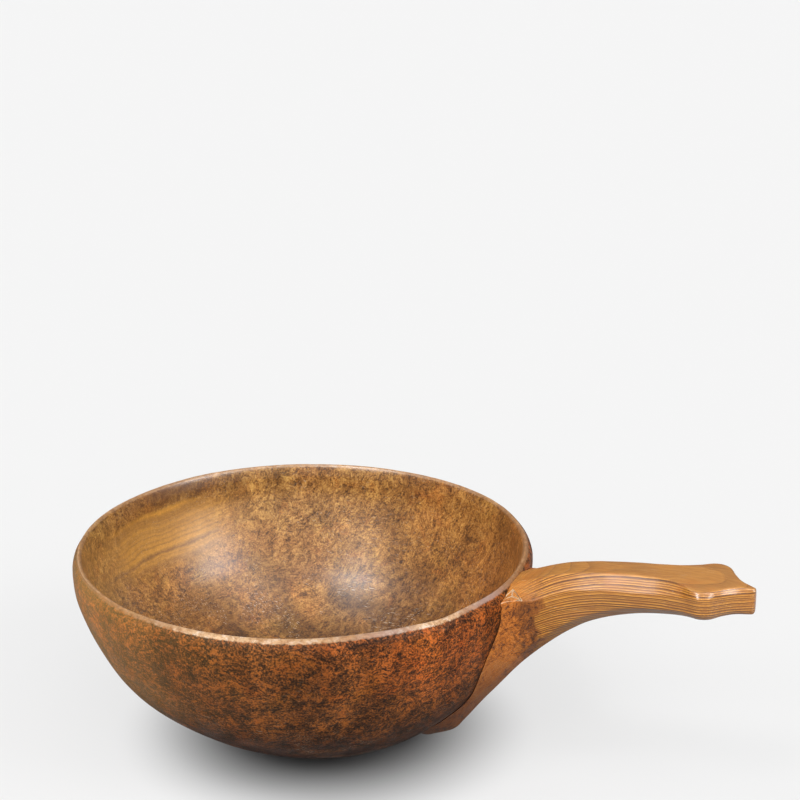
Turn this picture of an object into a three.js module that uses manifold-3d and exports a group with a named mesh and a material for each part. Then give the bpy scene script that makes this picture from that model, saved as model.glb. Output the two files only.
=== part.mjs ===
// A handled wooden drinking bowl: a burl bowl, a carved handle whose root is scribed to the
// outside of the bowl as a keel, and three trenails driven from the inside of the bowl through
// its wall into the root. Millimetres, +Z up, +X along the handle; the origin is the middle of
// the flat that the bowl stands on.
import * as THREE from 'three';
import { mergeVertices } from 'three/addons/utils/BufferGeometryUtils.js';
import Module from 'manifold-3d';

// Bowl
const bowlRadius = 100; // widest, just under the lip
const bowlHeight = 86.4; // to the ridge of the lip
const baseRadius = 30; // flat that it stands on
const baseShift = 10; // the hand-carved bottom sits this far off the rim's middle, to the handle
const wallThickness = 6.2; // side wall, square to its surface
const floorThickness = 8.5;
const lipWidth = 5; // from the inner wall to the outside, at the top
const bowlSegments = 72;

// Handle
const handleReach = 98; // from the bowl's widest radius to the tip
const handleRise = 13.4; // top of the handle's end above the lip
const gripWidth = 25;
const gripThickness = 16;
const endThickness = 12;
const knuckleWidth = 35.5; // across the two shoulders near the end
const tipWidth = 3;
const rootWidth = 40; // across the root, where it meets the lip
const keelWidth = 13; // flat under the root
const keelDepth = 5; // how far the keel stands off the bowl
const shoulderChamfer = 6; // along the top edges of the grip
const keelChamfer = 4; // along its bottom edges

// Trenails and fit
const pegRadius = 3.3;
const pegSpread = 8; // upper pegs, each side of the middle
const upperPegDrop = 14.4; // below the lip
const lowerPegDrop = 33.4;
const upperPegDepth = 11; // into the root, past the outside of the bowl
const lowerPegDepth = 5.5;
const jointGap = 0.3; // between pieces that touch
const pegSegments = 24;

const wasm = await Module();
wasm.setup();

// Half the outside of the bowl, as [radius, height], from the flat to just under the lip.
function outsideProfile() {
  const swell = (share) => baseRadius + (bowlRadius - baseRadius) * share;
  return new THREE.SplineCurve([
    new THREE.Vector2(baseRadius, 0),
    new THREE.Vector2(swell(0.092), 0.03 * bowlHeight),
    new THREE.Vector2(swell(0.257), 0.1 * bowlHeight),
    new THREE.Vector2(swell(0.506), 0.22 * bowlHeight),
    new THREE.Vector2(swell(0.751), 0.4 * bowlHeight),
    new THREE.Vector2(swell(0.89), 0.6 * bowlHeight),
    new THREE.Vector2(swell(0.979), 0.8 * bowlHeight),
    new THREE.Vector2(bowlRadius, 0.93 * bowlHeight),
  ]);
}

const outside = outsideProfile();
const profileSteps = 26;

// Where the middle of the bowl lies at a height: over the flat at the bottom, and back from it
// at the rim.
function middleAt(height) {
  const left = 1 - THREE.MathUtils.clamp(height / bowlHeight, 0, 1);
  return baseShift * (left ** 3 - 1);
}

// The outside of the bowl on the handle's side at a share of its height: point and normal.
function wallAt(share) {
  const height = share * bowlHeight;
  let low = 0;
  let high = 1;
  while (high - low > 1e-6) {
    const half = (low + high) / 2;
    if (outside.getPoint(half).y < height) low = half;
    else high = half;
  }
  const leaned = (t) => {
    const point = outside.getPoint(t);
    point.x += middleAt(point.y);
    return point;
  };
  const step = 1e-3;
  const along = leaned(low + step).sub(leaned(low - step)).normalize();
  return { point: leaned(low), normal: new THREE.Vector2(along.y, -along.x) };
}

// The lip rolls from the outside over a ridge near the inner wall.
function lipProfile() {
  const inner = bowlRadius - lipWidth;
  return [
    new THREE.Vector2(bowlRadius - 0.16 * lipWidth, 0.967 * bowlHeight),
    new THREE.Vector2(bowlRadius - 0.46 * lipWidth, bowlHeight - 0.9),
    new THREE.Vector2(bowlRadius - 0.74 * lipWidth, bowlHeight),
    new THREE.Vector2(inner, bowlHeight - 1.4),
  ];
}

// The inside follows the outside at the wall's thickness and closes on the floor.
function insideProfile() {
  const points = [];
  for (let i = profileSteps; i >= 0; i -= 1) {
    const t = i / profileSteps;
    const tangent = outside.getTangent(t);
    const normal = new THREE.Vector2(tangent.y, -tangent.x);
    const point = outside.getPoint(t).addScaledVector(normal, -wallThickness);
    const inRange = point.y > floorThickness * 1.5 && point.x < bowlRadius - lipWidth;
    if (inRange) points.push(point);
  }
  const last = points[points.length - 1];
  const middle = new THREE.Vector2(last.x * 0.45, floorThickness);
  const corner = new THREE.Vector2(last.x * 0.8, floorThickness + 0.3 * (last.y - floorThickness));
  return [...points, corner, middle, new THREE.Vector2(0, floorThickness)];
}

// A round of [radius, height] points about the bowl's leaning middle.
function turned(profile) {
  const geometry = new THREE.LatheGeometry(profile, bowlSegments);
  geometry.rotateX(Math.PI / 2);
  const position = geometry.getAttribute('position');
  for (let i = 0; i < position.count; i += 1) {
    position.setX(i, position.getX(i) + middleAt(position.getZ(i)));
  }
  return geometry;
}

// Closed geometry to a manifold solid.
function solid(geometry) {
  const plain = geometry.clone();
  plain.deleteAttribute('normal');
  plain.deleteAttribute('uv');
  const merged = mergeVertices(plain, 1e-4);
  const index = merged.getIndex().array;
  const kept = [];
  for (let i = 0; i < index.length; i += 3) {
    const [a, b, c] = [index[i], index[i + 1], index[i + 2]];
    if (a !== b && b !== c && c !== a) kept.push(a, b, c);
  }
  return new wasm.Manifold(new wasm.Mesh({
    numProp: 3,
    vertProperties: new Float32Array(merged.getAttribute('position').array),
    triVerts: new Uint32Array(kept),
  }));
}

// A manifold solid back to geometry.
function geometryOf(manifold) {
  const mesh = manifold.getMesh();
  const geometry = new THREE.BufferGeometry();
  geometry.setAttribute('position', new THREE.BufferAttribute(mesh.vertProperties, 3));
  geometry.setIndex(new THREE.BufferAttribute(mesh.triVerts, 1));
  geometry.computeVertexNormals();
  return geometry;
}

// Everything inside the outside of the bowl, grown by a gap and carried up past the lip.
function bowlEnvelope(gap, top) {
  const points = [new THREE.Vector2(0, -gap)];
  for (let i = 0; i <= profileSteps; i += 1) {
    const t = i / profileSteps;
    const tangent = outside.getTangent(t);
    const normal = new THREE.Vector2(tangent.y, -tangent.x);
    points.push(outside.getPoint(t).addScaledVector(normal, gap));
  }
  points[1].y = -gap;
  for (const point of lipProfile().slice(0, 3)) points.push(new THREE.Vector2(point.x + gap, point.y));
  const last = points[points.length - 1];
  points.push(new THREE.Vector2(last.x, top), new THREE.Vector2(0, top));
  return solid(turned(points));
}

// The hollow of the bowl, carried up past the lip.
function bowlHollow(top) {
  const points = insideProfile().reverse();
  const last = points[points.length - 1];
  return solid(turned([...points, new THREE.Vector2(last.x, top), new THREE.Vector2(0, top)]));
}

// Cross-sections of the handle from its toe, low on the bowl, to its tip. Each has its top and
// its foot in the middle plane, as [x, z], and four edges on each side: the face on top, the
// shoulder a drop below the top, the flank a lift above the foot, and the flat underneath. An
// edge is given by its half width.
function rootSection(share, depth, inward, shoulder, flank, under) {
  const wall = wallAt(share);
  const foot = wall.point.clone().addScaledVector(wall.normal, depth);
  const top = wall.point.clone().addScaledVector(wall.normal, -inward);
  return { top, foot, face: 0.5 * shoulder, shoulder, drop: 1, flank, lift: 0.75 * keelChamfer, under };
}

// On the grip, reach and rise are shares of the handle's reach past the rim and rise above it.
function gripSection([topReach, rise, footReach, thickness], [face, shoulder, drop], [flank, lift, under]) {
  const rim = middleAt(bowlHeight) + bowlRadius;
  const top = new THREE.Vector2(rim + topReach * handleReach, bowlHeight + rise * handleRise);
  const foot = new THREE.Vector2(rim + footReach * handleReach, top.y - thickness);
  return { top, foot, face, shoulder, drop, flank, lift, under };
}

function handleSections() {
  const root = rootWidth / 2;
  const keel = keelWidth / 2;
  const grip = gripWidth / 2;
  const face = grip - shoulderChamfer;
  const flat = grip - keelChamfer;
  const knuckle = knuckleWidth / 2;
  const tip = tipWidth / 2;
  const edge = 0.2 * endThickness;
  return [
    rootSection(0.085, -2, 6, 0.6 * root, 1.1 * keel, 0.8 * keel),
    rootSection(0.12, 0.65 * keelDepth, 6, 0.85 * root, 1.4 * keel, 0.9 * keel),
    rootSection(0.15, 0.86 * keelDepth, 6, 0.9 * root, 1.5 * keel, 0.95 * keel),
    rootSection(0.213, 1.2 * keelDepth, 7, 0.95 * root, 1.55 * keel, keel),
    rootSection(0.27, keelDepth, 7, root, 1.8 * keel, 1.1 * keel),
    rootSection(0.37, 0.75 * keelDepth, 8, 1.1 * root, 2.1 * keel, 1.2 * keel),
    rootSection(0.5, 1.15 * keelDepth, 10, 1.35 * root, 2.05 * keel, 1.25 * keel),
    rootSection(0.64, 2 * keelDepth, 14, 1.5 * root, 2 * keel, 1.3 * keel),
    gripSection([-0.045, -0.16, 0.115, 1.54 * gripThickness], [face, root, 2.6],
      [2.05 * keel, keelChamfer, 1.3 * keel]),
    gripSection([0.065, 0.24, 0.215, 1.34 * gripThickness], [face, 0.78 * root, 6.6],
      [2 * keel, keelChamfer, 1.3 * keel]),
    gripSection([0.185, 0.56, 0.31, 1.2 * gripThickness], [face, 1.02 * grip, shoulderChamfer],
      [grip, keelChamfer, flat]),
    gripSection([0.315, 0.76, 0.405, 1.1 * gripThickness], [face, 0.94 * grip, shoulderChamfer],
      [0.94 * grip, keelChamfer, flat]),
    gripSection([0.49, 0.92, 0.535, gripThickness], [face, grip, shoulderChamfer],
      [grip, keelChamfer, flat]),
    gripSection([0.64, 0.98, 0.66, 0.91 * gripThickness], [1.2 * face, 1.05 * grip, 0.8 * shoulderChamfer],
      [1.05 * grip, 0.9 * keelChamfer, 1.1 * flat]),
    gripSection([0.73, 1, 0.735, 1.1 * endThickness], [0.65 * knuckle, 0.83 * knuckle, 1.7 * edge],
      [0.82 * knuckle, 1.25 * edge, 0.68 * knuckle]),
    gripSection([0.78, 1, 0.782, 1.03 * endThickness], [0.85 * knuckle, 0.94 * knuckle, edge],
      [0.93 * knuckle, edge, 0.81 * knuckle]),
    gripSection([0.815, 1, 0.817, endThickness], [0.91 * knuckle, knuckle, edge],
      [knuckle, edge, 0.89 * knuckle]),
    gripSection([0.85, 0.99, 0.852, endThickness], [0.81 * knuckle, 0.91 * knuckle, edge],
      [0.91 * knuckle, edge, 0.8 * knuckle]),
    gripSection([0.89, 0.97, 0.892, 0.98 * endThickness], [0.5 * knuckle, 0.6 * knuckle, edge],
      [0.6 * knuckle, edge, 0.5 * knuckle]),
    gripSection([0.94, 0.93, 0.942, 0.96 * endThickness], [0.25 * knuckle, 0.33 * knuckle, edge],
      [0.33 * knuckle, edge, 0.25 * knuckle]),
    gripSection([1, 0.86, 1, 0.92 * endThickness], [0.5 * tip, tip, edge], [tip, edge, 0.5 * tip]),
  ];
}

// The eight corners of one section, in order round it.
function sectionCorners({ top, foot, face, shoulder, drop, flank, lift, under }) {
  const down = foot.clone().sub(top).normalize();
  const shoulderAt = top.clone().addScaledVector(down, drop);
  const flankAt = foot.clone().addScaledVector(down, -lift);
  const half = [[top, face], [shoulderAt, shoulder], [flankAt, flank], [foot, under]];
  const near = half.map(([p, y]) => new THREE.Vector3(p.x, -y, p.y));
  const far = half.map(([p, y]) => new THREE.Vector3(p.x, y, p.y)).reverse();
  return [...near, ...far];
}

// A closed loft: a smooth curve runs through each corner of the sections.
function loft(sections, steps) {
  const corners = sections.map(sectionCorners);
  const edges = corners[0].map((_, k) => new THREE.CatmullRomCurve3(corners.map((ring) => ring[k])));
  const sides = edges.length;
  const positions = [];
  for (let i = 0; i <= steps; i += 1) {
    for (const edge of edges) positions.push(...edge.getPoint(i / steps).toArray());
  }
  const index = [];
  for (let i = 0; i < steps; i += 1) {
    for (let k = 0; k < sides; k += 1) {
      const a = i * sides + k;
      const b = i * sides + ((k + 1) % sides);
      index.push(a, b, b + sides, a, b + sides, a + sides);
    }
  }
  const lastRing = steps * sides;
  for (let k = 1; k < sides - 1; k += 1) {
    index.push(0, k + 1, k);
    index.push(lastRing, lastRing + k, lastRing + k + 1);
  }
  const geometry = new THREE.BufferGeometry();
  geometry.setAttribute('position', new THREE.Float32BufferAttribute(positions, 3));
  geometry.setIndex(index);
  return geometry;
}

// A round bar square to the bowl's wall: from the hollow, through the wall, into the root.
function pegBar(peg, radius, extra) {
  const wall = wallAt(1 - peg.drop / bowlHeight);
  const start = -(wallThickness + 6);
  const length = peg.depth + extra - start;
  const bar = new THREE.CylinderGeometry(radius, radius, length, pegSegments);
  bar.rotateZ(-Math.PI / 2);
  bar.translate(start + length / 2, 0, 0);
  bar.rotateY(-Math.atan2(wall.normal.y, wall.normal.x));
  bar.translate(wall.point.x, peg.side, wall.point.y);
  return solid(bar);
}

const pegs = [
  { name: 'handle_peg_left', side: pegSpread, drop: upperPegDrop, depth: upperPegDepth },
  { name: 'handle_peg_right', side: -pegSpread, drop: upperPegDrop, depth: upperPegDepth },
  { name: 'handle_peg_lower', side: 0, drop: lowerPegDrop, depth: lowerPegDepth },
];

const above = bowlHeight + handleRise + gripThickness;
const loftSteps = 84;

// Bowl
const bowlPoints = [new THREE.Vector2(0, 0)];
for (let i = 0; i <= profileSteps; i += 1) bowlPoints.push(outside.getPoint(i / profileSteps));
bowlPoints.push(...lipProfile(), ...insideProfile());
let bowl = solid(turned(bowlPoints));
for (const peg of pegs) bowl = bowl.subtract(pegBar(peg, pegRadius + jointGap, jointGap));

// Handle
let handle = solid(loft(handleSections(), loftSteps)).subtract(bowlEnvelope(jointGap, above));
for (const peg of pegs) handle = handle.subtract(pegBar(peg, pegRadius + jointGap, jointGap));

// Trenails, trimmed flush with the inside of the bowl
const hollow = bowlHollow(above);
const pegSolids = pegs.map((peg) => pegBar(peg, pegRadius, 0).subtract(hollow));

const burl = new THREE.MeshStandardMaterial({ color: 0x7a4522, roughness: 0.5, metalness: 0 });
const stemWood = new THREE.MeshStandardMaterial({ color: 0xa06c36, roughness: 0.45, metalness: 0 });
const pegWood = new THREE.MeshStandardMaterial({ color: 0x8a5a2c, roughness: 0.55, metalness: 0 });

const group = new THREE.Group();

function add(name, manifold, material) {
  const mesh = new THREE.Mesh(geometryOf(manifold), material);
  mesh.name = name;
  group.add(mesh);
}

add('bowl', bowl, burl);
add('handle', handle, stemWood);
pegs.forEach((peg, i) => add(peg.name, pegSolids[i], pegWood));

export default group;
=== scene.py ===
"""A hand-carved drinking bowl of burl wood, its handle scribed to the wall and held by trenails.

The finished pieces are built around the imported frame, in metres, with +Z up and +X along the handle.
"""

import math

import bmesh
import bpy
import numpy as np
from bpy.props import FloatProperty, FloatVectorProperty, IntProperty, PointerProperty
from mathutils import Matrix, Vector, noise
from mathutils.bvhtree import BVHTree
from mathutils.kdtree import KDTree


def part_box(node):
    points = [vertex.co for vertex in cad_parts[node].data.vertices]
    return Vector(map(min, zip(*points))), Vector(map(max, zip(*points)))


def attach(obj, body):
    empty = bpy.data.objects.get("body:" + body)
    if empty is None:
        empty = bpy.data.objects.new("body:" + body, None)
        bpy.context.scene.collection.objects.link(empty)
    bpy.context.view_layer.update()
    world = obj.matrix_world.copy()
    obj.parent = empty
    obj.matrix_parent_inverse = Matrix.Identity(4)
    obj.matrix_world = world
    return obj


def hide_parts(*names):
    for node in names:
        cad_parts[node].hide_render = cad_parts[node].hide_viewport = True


bl_info = {
    "name": "Burl Drinking Bowl",
    "version": (1, 0, 0),
    "blender": (4, 5, 0),
    "location": "View3D > Sidebar > Drinking Bowl",
    "description": "A carved burl bowl with a scribed, trenailed handle, and its studio",
    "category": "Object",
}

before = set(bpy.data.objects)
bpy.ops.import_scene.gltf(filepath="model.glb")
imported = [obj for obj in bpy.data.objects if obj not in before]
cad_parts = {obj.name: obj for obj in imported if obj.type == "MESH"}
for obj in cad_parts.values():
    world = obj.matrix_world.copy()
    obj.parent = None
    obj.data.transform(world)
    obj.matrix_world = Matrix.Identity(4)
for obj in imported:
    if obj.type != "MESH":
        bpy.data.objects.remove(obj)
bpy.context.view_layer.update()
BOWL_LOW, BOWL_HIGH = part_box("bowl")
HANDLE_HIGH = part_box("handle")[1]

MM = 0.001
BODY = "root"
PROFILE_STEPS = 62  # up the bowl's side, outside and inside
FLOOR_STEPS = 22  # round the inside's bottom corner
LIP_STEPS = 28  # along the curve that joins the outside to the inside over the lip
HOLE_SEGMENTS = 40
PEG_SEGMENTS = 36
FLAT_POINTS = 5  # on each flat of the handle's cross-section
ARC_POINTS = 4  # on each of its rounded corners
TIP_STEPS = 5  # round the blunt tip
TIP_START = 0.9885  # share of the handle's tracks where the tip's rounding begins


def shade(red, green, blue):
    """Linear colour of a paint chip given in 0 to 255 steps."""
    parts = (step / 255 for step in (red, green, blue))
    return tuple(part / 12.92 if part <= 0.04045 else ((part + 0.055) / 1.055) ** 2.4 for part in parts)


def length(name, description, default):
    """A size property in metres."""
    return FloatProperty(name=name, description=description, default=default, unit="LENGTH", precision=4)


def tint(name, description, *steps):
    """A colour property, its default given in 0 to 255 steps."""
    return FloatVectorProperty(name=name, description=description, default=shade(*steps),
                               subtype="COLOR", size=3, min=0, max=1)


class BowlSizes(bpy.types.PropertyGroup):
    """Sizes of the bowl."""

    radius: length("Radius", "Widest radius, just under the lip", (BOWL_HIGH.y - BOWL_LOW.y) / 2)
    height: length("Height", "From the flat to the ridge of the lip", BOWL_HIGH.z)
    base_radius: length("Base radius", "Radius of the flat that it stands on", 30 * MM)
    base_shift: length("Base shift", "How far the flat lies off the rim's middle",
                       -(BOWL_LOW.x + BOWL_HIGH.x) / 2)
    wall: length("Wall", "Thickness of the side wall", 6.2 * MM)
    floor: length("Floor", "Thickness at the bottom", 8.5 * MM)
    lip: length("Lip", "Width of the lip", 5 * MM)
    knife_depth: length("Knife marks", "Depth of the unevenness left by the knife", 0.5 * MM)
    turns: IntProperty(name="Steps round", description="Steps of the spin round the bowl", default=288)


class HandleSizes(bpy.types.PropertyGroup):
    """Sizes of the handle."""

    reach: length("Reach", "From the bowl's side to the tip", HANDLE_HIGH.x - BOWL_HIGH.x)
    rise: length("Rise", "Top of the end above the lip", HANDLE_HIGH.z - BOWL_HIGH.z)
    grip_width: length("Grip width", "Across the grip", 25 * MM)
    grip_thickness: length("Grip thickness", "Through the grip", 16 * MM)
    end_thickness: length("End thickness", "Through the prow", 12 * MM)
    knuckle_width: length("Knuckle width", "Across the two shoulders near the end", 35.5 * MM)
    tip_width: length("Tip width", "Across the tip", 3 * MM)
    root_width: length("Root width", "Across the root at the lip", 40 * MM)
    keel_width: length("Keel width", "Flat under the root", 13 * MM)
    keel_depth: length("Keel depth", "How far the keel stands off the bowl", 5 * MM)
    shoulder_chamfer: length("Shoulder chamfer", "Along the top edges of the grip", 6 * MM)
    keel_chamfer: length("Keel chamfer", "Along the bottom edges of the grip", 4 * MM)
    arris: length("Arris", "Rounding worn onto the long edges", 0.5 * MM)
    seam: length("Seam", "Gap between the root and the bowl", 0.3 * MM)
    rings: IntProperty(name="Rings", description="Cross-sections along the handle", default=170)


class PegSizes(bpy.types.PropertyGroup):
    """Sizes of the trenails."""

    radius: length("Radius", "Radius of a trenail", 3.3 * MM)
    spread: length("Spread", "Upper trenails, each side of the middle", 8 * MM)
    upper_drop: length("Upper drop", "Upper trenails below the lip", 14.4 * MM)
    lower_drop: length("Lower drop", "Lower trenail below the lip", 33.4 * MM)
    upper_depth: length("Upper depth", "Into the root, past the wall", 11 * MM)
    lower_depth: length("Lower depth", "Into the root, past the wall", 5.5 * MM)
    clearance: length("Clearance", "Ring of shadow round each trenail", 0.12 * MM)


class WoodColours(bpy.types.PropertyGroup):
    """Colours of the three woods."""

    outside_dark: tint("Outside dark", "Burnt mottles of the outside", 42, 27, 19)
    outside_middle: tint("Outside middle", "Red-brown of the outside", 90, 55, 31)
    outside_light: tint("Outside light", "Orange figure of the outside", 164, 94, 44)
    inside_dark: tint("Inside dark", "Dark specks of the inside", 84, 54, 30)
    inside_middle: tint("Inside middle", "Golden brown of the inside", 156, 108, 53)
    inside_light: tint("Inside light", "Pale figure of the inside", 208, 160, 92)
    gold: tint("Straight grain", "Yellow streak of straight grain", 222, 160, 62)
    # the worn lip's pale and grey colours also paint its highlights and sheen
    lip_pale: tint("Worn lip", "Wood rubbed pale on the lip", 222, 184, 142)
    lip_grey: tint("Grey patina", "Grey-violet patina on the lip", 158, 130, 122)
    # a green tone together with a painted sheen on the far left outside
    green_tone_and_sheen: tint("Green tone and sheen", "Greenish brown of the far left", 186, 148, 84)
    handle_pale: tint("Handle pale", "Early wood of the handle", 218, 150, 60)
    handle_deep: tint("Handle deep", "Shadowed honey of the handle", 152, 90, 36)
    handle_line: tint("Growth line", "Late wood lines of the handle", 72, 40, 16)
    # the top's colour is its plainer cut grain and also painted light on upward faces
    handle_top_tone_and_light: tint("Handle top", "Hand-rubbed grey-brown of the handle's top", 186, 130, 64)
    root_red: tint("Root figure", "Red-brown figure of the root", 196, 112, 36)
    root_dark: tint("Root dark", "Dark clouds of the root", 96, 52, 24)
    root_light: tint("Root light", "Orange fibres of the root", 208, 136, 66)
    peg_pale: tint("Trenail pale", "Early wood of the trenails", 190, 138, 84)
    peg_line: tint("Trenail line", "Late wood of the trenails", 118, 76, 44)


class StudioSetup(bpy.types.PropertyGroup):
    """Floor, lights and camera."""

    camera_spot: FloatVectorProperty(name="Camera", description="Where the camera stands",
                                     default=(0.3138, -0.689, 0.408), subtype="TRANSLATION", unit="LENGTH")
    camera_pitch: FloatProperty(name="Pitch", description="Camera's tilt from straight down",
                                default=math.radians(71.38), subtype="ANGLE")
    camera_turn: FloatProperty(name="Turn", description="Camera's turn about the upright",
                               default=math.radians(22), subtype="ANGLE")
    lens: FloatProperty(name="Lens", description="Focal length", default=85, unit="CAMERA")
    floor_side: length("Floor", "Side of the floor", 24.0)
    floor_colour: tint("Floor", "Paint of the floor", 243, 243, 243)
    floor_glow: FloatProperty(name="Floor glow", description="How much of the floor's light is its own",
                              default=0.73)
    shade_start: length("Shade start", "Where the soft shade round the bowl's foot is deepest", 0.033)
    shade_end: length("Shade end", "Where the soft shade round the bowl's foot ends", 0.096)
    sky: FloatProperty(name="Sky", description="Strength of the even light from all round", default=0.3)


class DrinkingBowl(bpy.types.PropertyGroup):
    """All the settings of the drinking bowl."""

    bowl: PointerProperty(type=BowlSizes)
    handle: PointerProperty(type=HandleSizes)
    pegs: PointerProperty(type=PegSizes)
    colours: PointerProperty(type=WoodColours)
    studio: PointerProperty(type=StudioSetup)


# ---------------------------------------------------------------- curves and profiles


def smooth_step(low, high, value):
    """0 below low, 1 above high, and an even ease between them."""
    t = min(max((value - low) / (high - low), 0.0), 1.0)
    return t * t * (3 - 2 * t)


def span_at(points, share):
    """Which span of a row of points a share of it falls in, and how far along that span."""
    place = (len(points) - 1) * share
    i = min(int(place), len(points) - 2)
    return i, place - i


def curved(a, b, va, vb, t):
    """A point on the cubic from a to b that leaves with va and arrives with vb."""
    return a + va * t + (3 * (b - a) - 2 * va - vb) * t**2 + (2 * (a - b) + va + vb) * t**3


def even_curve(points, share):
    """A point on the evenly paced curve through all the points."""
    i, t = span_at(points, share)
    before, a = points[max(i - 1, 0)], points[i]
    b, after = points[i + 1], points[min(i + 2, len(points) - 1)]
    return curved(a, b, (b - before) * 0.5, (after - a) * 0.5, t)


def chord_curve(points, share):
    """A point on the curve through all the points, paced by the root of their distances."""
    i, t = span_at(points, share)
    a, b = points[i], points[i + 1]
    before = points[i - 1] if i else a * 2 - b
    after = points[i + 2] if i + 2 < len(points) else b * 2 - a
    da, db, dc = ((q - p).length ** 0.5 for p, q in ((before, a), (a, b), (b, after)))
    va = ((a - before) / da - (b - before) / (da + db) + (b - a) / db) * db
    vb = ((b - a) / db - (after - a) / (db + dc) + (after - b) / dc) * db
    return curved(a, b, va, vb, t)


def outside_knots(bowl):
    """Half the outside of the bowl as (radius, height), from the flat to just under the lip."""
    swells = ((0, 0), (0.092, 0.03), (0.257, 0.1), (0.506, 0.22), (0.751, 0.4), (0.89, 0.6), (0.979, 0.8),
              (1, 0.93))
    span = bowl.radius - bowl.base_radius
    return [Vector((bowl.base_radius + span * out, bowl.height * up)) for out, up in swells]


def outside_at(knots, share, grown=0.0):
    """A point of the outside profile, moved off the wall by grown."""
    step = 1e-4
    along = even_curve(knots, min(share + step, 1)) - even_curve(knots, max(share - step, 0))
    along.normalize()
    return even_curve(knots, share) + Vector((along.y, -along.x)) * grown


def lip_knots(bowl):
    """The lip, which rolls from the outside over a ridge near the inner wall."""
    return [Vector((bowl.radius - 0.16 * bowl.lip, 0.967 * bowl.height)),
            Vector((bowl.radius - 0.46 * bowl.lip, bowl.height - 0.9 * MM)),
            Vector((bowl.radius - 0.74 * bowl.lip, bowl.height)),
            Vector((bowl.radius - bowl.lip, bowl.height - 1.4 * MM))]


def outside_line(bowl, grown=0.0):
    """The outside profile from the flat to just under the lip, moved off the wall by grown."""
    knots = outside_knots(bowl)
    return [outside_at(knots, i / PROFILE_STEPS, grown) for i in range(PROFILE_STEPS + 1)]


def inside_line(bowl):
    """The inside profile, from just under the lip to the middle of the floor."""
    line = outside_line(bowl, -bowl.wall)[::-1]
    line = [p for p in line if p.y > bowl.floor * 1.5 and p.x < bowl.radius - bowl.lip]
    last = line[-1]
    ends = [line[-2], last, Vector((last.x * 0.8, bowl.floor + 0.3 * (last.y - bowl.floor))),
            Vector((last.x * 0.45, bowl.floor)), Vector((0, bowl.floor))]
    return line[:-2] + [even_curve(ends, i / FLOOR_STEPS) for i in range(FLOOR_STEPS + 1)]


def bowl_line(bowl):
    """The whole profile: flat, outside, lip and inside, each as a list of (radius, height)."""
    rings_below = 6
    flat = [Vector((bowl.base_radius * i / rings_below, 0)) for i in range(rings_below)]
    outside, inside = outside_line(bowl), inside_line(bowl)
    bend = [*outside[-2:], *lip_knots(bowl), *inside[:2]]
    per_knot = LIP_STEPS // (len(bend) - 1)
    lip = [even_curve(bend, i / LIP_STEPS) for i in range(per_knot + 1, LIP_STEPS - per_knot + 1)]
    return flat, outside[:-1], lip, inside


def middle_at(bowl, height):
    """Where the bowl's middle lies at a height: over the flat below, set back from it at the rim."""
    left = 1 - min(max(height / bowl.height, 0), 1)
    return bowl.base_shift * (left**3 - 1)


def wall_at(bowl, height_share):
    """The outside of the bowl on the handle's side, as a point and a normal in (x, z)."""
    knots = outside_knots(bowl)
    height = height_share * bowl.height
    low, high = 0.0, 1.0
    while high - low > 1e-6:
        half = (low + high) / 2
        low, high = (half, high) if even_curve(knots, half).y < height else (low, half)

    def leaned(share):
        point = even_curve(knots, share)
        return Vector((point.x + middle_at(bowl, point.y), point.y))

    along = (leaned(low + 1e-3) - leaned(low - 1e-3)).normalized()
    return leaned(low), Vector((along.y, -along.x))


def bell(angle, centre, spread):
    """1 at an angle in degrees, falling off round it."""
    off = (angle - centre + 180) % 360 - 180
    return math.exp(-((off / spread) ** 2))


def hand_carved(bowl, point, inner):
    """A point of the spun bowl set back over its foot and made uneven, as the knife and long use leave it."""
    flat_radius = math.hypot(point.x, point.y)
    angle = math.degrees(math.atan2(point.y, point.x))
    up = point.z / bowl.height
    rim = smooth_step(0.62, 0.97, up)
    waves = noise.noise(point * 38) + 0.45 * noise.noise(point * 95) + 0.2 * noise.noise(point * 210)
    cut = -bowl.knife_depth * (0.5 + 0.33 * waves) * smooth_step(0.01, 0.1, up)
    swell = 0.9 * MM * rim * bell(angle, 50, 26)
    thin = rim * (1.0 * MM * bell(angle, 140, 75) - 0.7 * MM * bell(angle, -62, 40))
    reach = (0.6 * cut + thin + swell) if inner else cut + swell
    round_the_rim = Vector((math.cos(math.radians(angle)) * 2.6, math.sin(math.radians(angle)) * 2.6, 4.0))
    lift = rim * (0.7 * MM * bell(angle, 35, 45) - 0.8 * MM * bell(angle, -30, 6)
                  + 0.35 * MM * noise.noise(round_the_rim)
                  - 0.15 * MM * abs(noise.noise(point * 330)) * smooth_step(0.93, 1, up))
    if flat_radius > 1e-9:
        grow = 1 + reach / max(flat_radius, 12 * MM)
        point = Vector((point.x * grow, point.y * grow, point.z + lift))
    return point + Vector((middle_at(bowl, point.z), 0, 0))


# ---------------------------------------------------------------- meshes


def finish_mesh(bm, name):
    """Turns a bmesh into an object at the origin."""
    mesh = bpy.data.meshes.new(name)
    bm.to_mesh(mesh)
    bm.free()
    made = bpy.data.objects.new(name, mesh)
    bpy.context.scene.collection.objects.link(made)
    return made


def apply_modifiers(thing):
    """Bakes an object's modifiers into its mesh."""
    depsgraph = bpy.context.evaluated_depsgraph_get()
    mesh = bpy.data.meshes.new_from_object(thing.evaluated_get(depsgraph))
    thing.modifiers.clear()
    old = thing.data
    thing.data = mesh
    mesh.name = thing.name
    bpy.data.meshes.remove(old)


def cut_with(thing, cutters):
    """Takes each cutter's volume out of an object, then drops the cutter."""
    for cutter in cutters:
        cut = thing.modifiers.new("cut", "BOOLEAN")
        cut.operation = "DIFFERENCE"
        cut.solver = "EXACT"
        cut.object = cutter
    bpy.context.view_layer.update()
    apply_modifiers(thing)
    for cutter in cutters:
        bpy.data.objects.remove(cutter)


def smooth_shaded(thing, sharp_degrees):
    """Smooth shading, broken at edges sharper than an angle."""
    thing.data.shade_smooth()
    thing.data.set_sharp_from_angle(angle=math.radians(sharp_degrees))


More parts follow.
